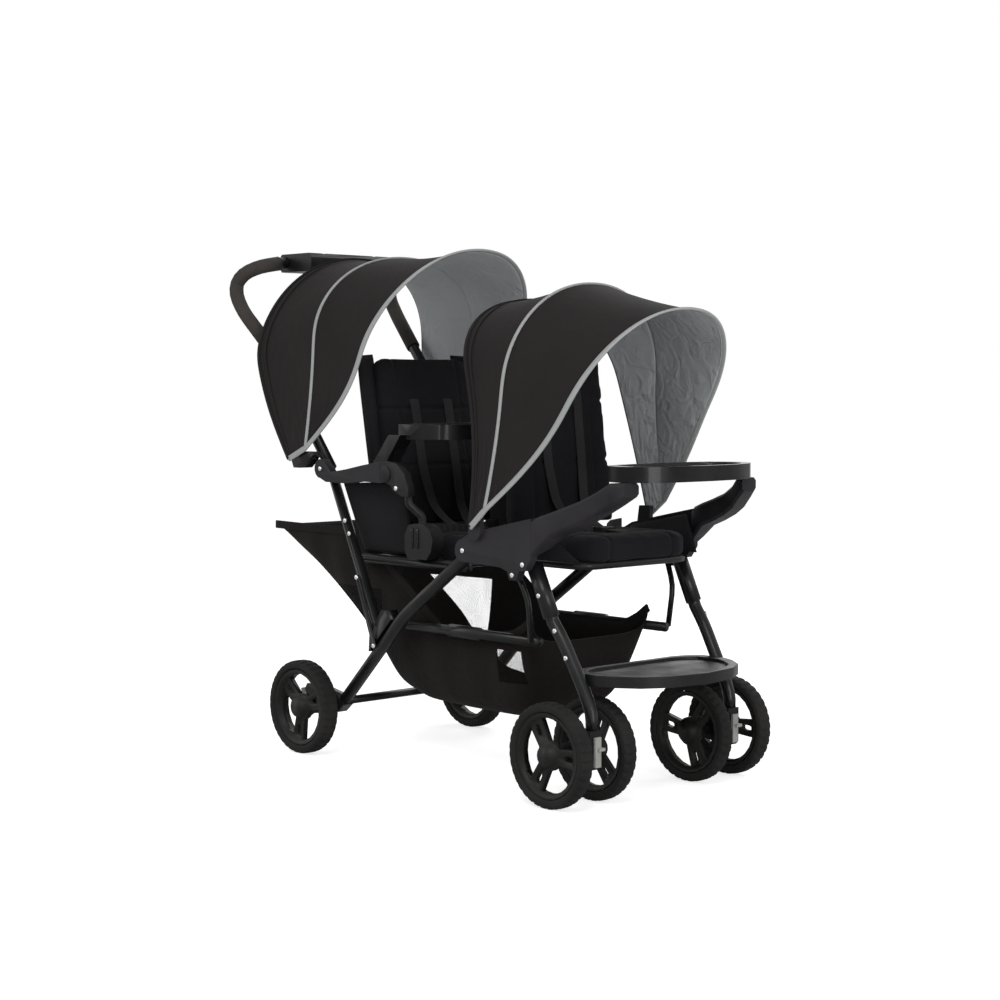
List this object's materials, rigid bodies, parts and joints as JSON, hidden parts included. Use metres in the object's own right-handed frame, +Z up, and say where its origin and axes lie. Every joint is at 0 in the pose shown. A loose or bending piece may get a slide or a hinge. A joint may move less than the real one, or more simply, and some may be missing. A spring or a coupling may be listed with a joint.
{
  "type": "double stroller",
  "caption": "Folding double stroller with one seat behind the other, twin front casters, two canopies, trays and a basket",
  "frame": {"origin": "on the floor, in the middle of the length and the width", "axes": "+X forward, +Y left, +Z up"},
  "size_m": [1.245, 0.546, 1.099],
  "materials": {
    "tyre_black": "molded",
    "rim_charcoal": "molded",
    "tube_black": "satin powder coat",
    "molded_charcoal": "molded",
    "molded_black": "molded",
    "grip_foam": "foam sleeve",
    "lever_grey": "molded",
    "canopy_cloth": "woven polyester",
    "seat_cloth": "padded woven polyester",
    "basket_cloth": "woven polyester with mesh windows"
  },
  "bodies": {
    "front_frame": {"arm_plate_left": "molded_charcoal", "arm_plate_right": "molded_charcoal", "footrest": "molded_black", "front_buckle": "molded_black", "front_leg_left": "tube_black", "front_leg_right": "tube_black", "front_seat_frame": "tube_black", "front_seat_pad": "seat_cloth", "front_strut_left": "tube_black", "front_strut_right": "tube_black"},
    "rear_frame": {"basket": "basket_cloth", "elbow_arm_left": "molded_black", "elbow_arm_right": "molded_black", "rear_axle": "molded_black", "rear_buckle": "molded_black", "rear_leg_left": "tube_black", "rear_leg_right": "tube_black", "rear_seat_pad": "seat_cloth", "rear_tray": "molded_black", "rear_upright_left": "tube_black", "rear_upright_right": "tube_black", "seat_rails": "tube_black", "side_molding_left": "molded_charcoal", "side_molding_right": "molded_charcoal"},
    "brake_pedal_left": {"brake_pedal_left": "lever_grey"},
    "brake_pedal_right": {"brake_pedal_right": "lever_grey"},
    "caster_left": {"caster_fork_left": "molded_black"},
    "caster_right": {"caster_fork_right": "molded_black"},
    "caster_lock_left": {"caster_lock_left": "lever_grey"},
    "caster_lock_right": {"caster_lock_right": "lever_grey"},
    "handle": {"console": "molded_black", "handle_grip_left": "grip_foam", "handle_grip_right": "grip_foam", "handle_tube": "tube_black"},
    "console_lid": {"console_lid": "molded_charcoal"},
    "fold_trigger": {"fold_trigger": "lever_grey"},
    "front_backrest": {"front_backrest": "seat_cloth"},
    "front_buckle_button": {"front_buckle_button": "molded_charcoal"},
    "front_canopy_front": {"front_canopy_front_panel": "canopy_cloth"},
    "front_canopy_mid": {"front_canopy_rear_panel": "canopy_cloth"},
    "front_tray": {"front_tray": "molded_black"},
    "front_wheel_left_inner": {"front_wheel_left_inner_rim": "rim_charcoal", "front_wheel_left_inner_tyre": "tyre_black"},
    "front_wheel_left_outer": {"front_wheel_left_outer_rim": "rim_charcoal", "front_wheel_left_outer_tyre": "tyre_black"},
    "front_wheel_right_inner": {"front_wheel_right_inner_rim": "rim_charcoal", "front_wheel_right_inner_tyre": "tyre_black"},
    "front_wheel_right_outer": {"front_wheel_right_outer_rim": "rim_charcoal", "front_wheel_right_outer_tyre": "tyre_black"},
    "lower_rails": {"lower_rail_left": "tube_black", "lower_rail_right": "tube_black"},
    "rear_backrest": {"rear_backrest": "seat_cloth"},
    "rear_buckle_button": {"rear_buckle_button": "molded_charcoal"},
    "rear_canopy_front": {"rear_canopy_front_panel": "canopy_cloth"},
    "rear_canopy_mid": {"rear_canopy_rear_panel": "canopy_cloth"},
    "rear_wheel_left": {"rear_wheel_left_rim": "rim_charcoal", "rear_wheel_left_tyre": "tyre_black"},
    "rear_wheel_right": {"rear_wheel_right_rim": "rim_charcoal", "rear_wheel_right_tyre": "tyre_black"}
  },
  "joints": [
    {"name": "frame_fold", "type": "hinge", "parent": "front_frame", "child": "rear_frame", "pos_m": [0.17767, 0, 0.473], "axis": [0, 1, 0], "range_deg": [-60, 0], "deforming": ["basket"]},
    {"name": "lower_rails_fold", "type": "hinge", "parent": "front_frame", "child": "lower_rails", "pos_m": [0.32967, 0, 0.3], "axis": [0, 1, 0], "range_deg": [-45, 0]},
    {"name": "handle_fold", "type": "hinge", "parent": "rear_frame", "child": "handle", "pos_m": [-0.28133, 0, 0.622], "axis": [0, 1, 0], "range_deg": [-76, 0]},
    {"name": "console_lid_hinge", "type": "hinge", "parent": "handle", "child": "console_lid", "pos_m": [-0.54833, 0, 1.099], "axis": [0, 1, 0], "range_deg": [-95, 0]},
    {"name": "fold_trigger_slide", "type": "slide", "parent": "handle", "child": "fold_trigger", "axis": [0, 0, 1], "range_m": [0, 0.005], "stiffness_N_per_m": 400},
    {"name": "rear_canopy_mid_fold", "type": "hinge", "parent": "handle", "child": "rear_canopy_mid", "pos_m": [-0.34333, 0, 0.645], "axis": [0, 1, 0], "range_deg": [-19, 0], "deforming": ["rear_canopy_rear_panel"]},
    {"name": "rear_canopy_front_fold", "type": "hinge", "parent": "rear_canopy_mid", "child": "rear_canopy_front", "pos_m": [-0.34333, 0, 0.645], "axis": [0, 1, 0], "range_deg": [-19, 0], "deforming": ["rear_canopy_front_panel"]},
    {"name": "front_canopy_mid_fold", "type": "hinge", "parent": "front_frame", "child": "front_canopy_mid", "pos_m": [0.22067, 0, 0.514], "axis": [0, 1, 0], "range_deg": [-19, 0], "deforming": ["front_canopy_rear_panel"]},
    {"name": "front_canopy_front_fold", "type": "hinge", "parent": "front_canopy_mid", "child": "front_canopy_front", "pos_m": [0.22067, 0, 0.514], "axis": [0, 1, 0], "range_deg": [-19, 0], "deforming": ["front_canopy_front_panel"]},
    {"name": "rear_recline", "type": "hinge", "parent": "rear_frame", "child": "rear_backrest", "pos_m": [-0.17733, 0, 0.4828], "axis": [0, 1, 0], "range_deg": [-25, 0]},
    {"name": "rear_buckle_press", "type": "slide", "parent": "rear_frame", "child": "rear_buckle_button", "axis": [0, 0, -1], "range_m": [0, 0.003], "stiffness_N_per_m": 200},
    {"name": "front_recline", "type": "hinge", "parent": "front_frame", "child": "front_backrest", "pos_m": [0.19967, 0, 0.5028], "axis": [0, 1, 0], "range_deg": [-15, 0]},
    {"name": "front_buckle_press", "type": "slide", "parent": "front_frame", "child": "front_buckle_button", "axis": [0, 0, -1], "range_m": [0, 0.003], "stiffness_N_per_m": 200},
    {"name": "front_tray_swing", "type": "hinge", "parent": "front_frame", "child": "front_tray", "pos_m": [0.55767, 0.163, 0.619], "axis": [0, 0, 1], "range_deg": [0, 100]},
    {"name": "rear_wheel_spin_right", "type": "hinge", "parent": "rear_frame", "child": "rear_wheel_right", "pos_m": [-0.33533, -0.248, 0.1016], "axis": [0, 1, 0], "continuous": true},
    {"name": "caster_swivel_right", "type": "hinge", "parent": "front_frame", "child": "caster_right", "pos_m": [0.49797, -0.198, 0], "axis": [0, 0, 1], "continuous": true},
    {"name": "front_wheel_spin_right_outer", "type": "hinge", "parent": "caster_right", "child": "front_wheel_right_outer", "pos_m": [0.44597, -0.257, 0.1016], "axis": [0, 1, 0], "continuous": true},
    {"name": "front_wheel_spin_right_inner", "type": "hinge", "parent": "caster_right", "child": "front_wheel_right_inner", "pos_m": [0.44597, -0.139, 0.1016], "axis": [0, 1, 0], "continuous": true},
    {"name": "caster_lock_slide_right", "type": "slide", "parent": "caster_right", "child": "caster_lock_right", "axis": [0, 0, 1], "range_m": [0, 0.008]},
    {"name": "brake_pedal_tilt_right", "type": "hinge", "parent": "rear_frame", "child": "brake_pedal_right", "pos_m": [-0.34933, -0.165, 0.132], "axis": [0, 1, 0], "range_deg": [-15, 0]},
    {"name": "rear_wheel_spin_left", "type": "hinge", "parent": "rear_frame", "child": "rear_wheel_left", "pos_m": [-0.33533, 0.248, 0.1016], "axis": [0, 1, 0], "continuous": true},
    {"name": "caster_swivel_left", "type": "hinge", "parent": "front_frame", "child": "caster_left", "pos_m": [0.49797, 0.198, 0], "axis": [0, 0, 1], "continuous": true},
    {"name": "front_wheel_spin_left_outer", "type": "hinge", "parent": "caster_left", "child": "front_wheel_left_outer", "pos_m": [0.44597, 0.257, 0.1016], "axis": [0, 1, 0], "continuous": true},
    {"name": "front_wheel_spin_left_inner", "type": "hinge", "parent": "caster_left", "child": "front_wheel_left_inner", "pos_m": [0.44597, 0.139, 0.1016], "axis": [0, 1, 0], "continuous": true},
    {"name": "caster_lock_slide_left", "type": "slide", "parent": "caster_left", "child": "caster_lock_left", "axis": [0, 0, 1], "range_m": [0, 0.008]},
    {"name": "brake_pedal_tilt_left", "type": "hinge", "parent": "rear_frame", "child": "brake_pedal_left", "pos_m": [-0.34933, 0.165, 0.132], "axis": [0, 1, 0], "range_deg": [-15, 0]}
  ],
  "couplings": [
    {"joint": "lower_rails_fold", "follows": "frame_fold", "ratio": 0.68},
    {"joint": "handle_fold", "follows": "frame_fold", "ratio": 1.25},
    {"joint": "rear_canopy_front_fold", "follows": "rear_canopy_mid_fold", "ratio": 1},
    {"joint": "front_canopy_front_fold", "follows": "front_canopy_mid_fold", "ratio": 1}
  ]
}
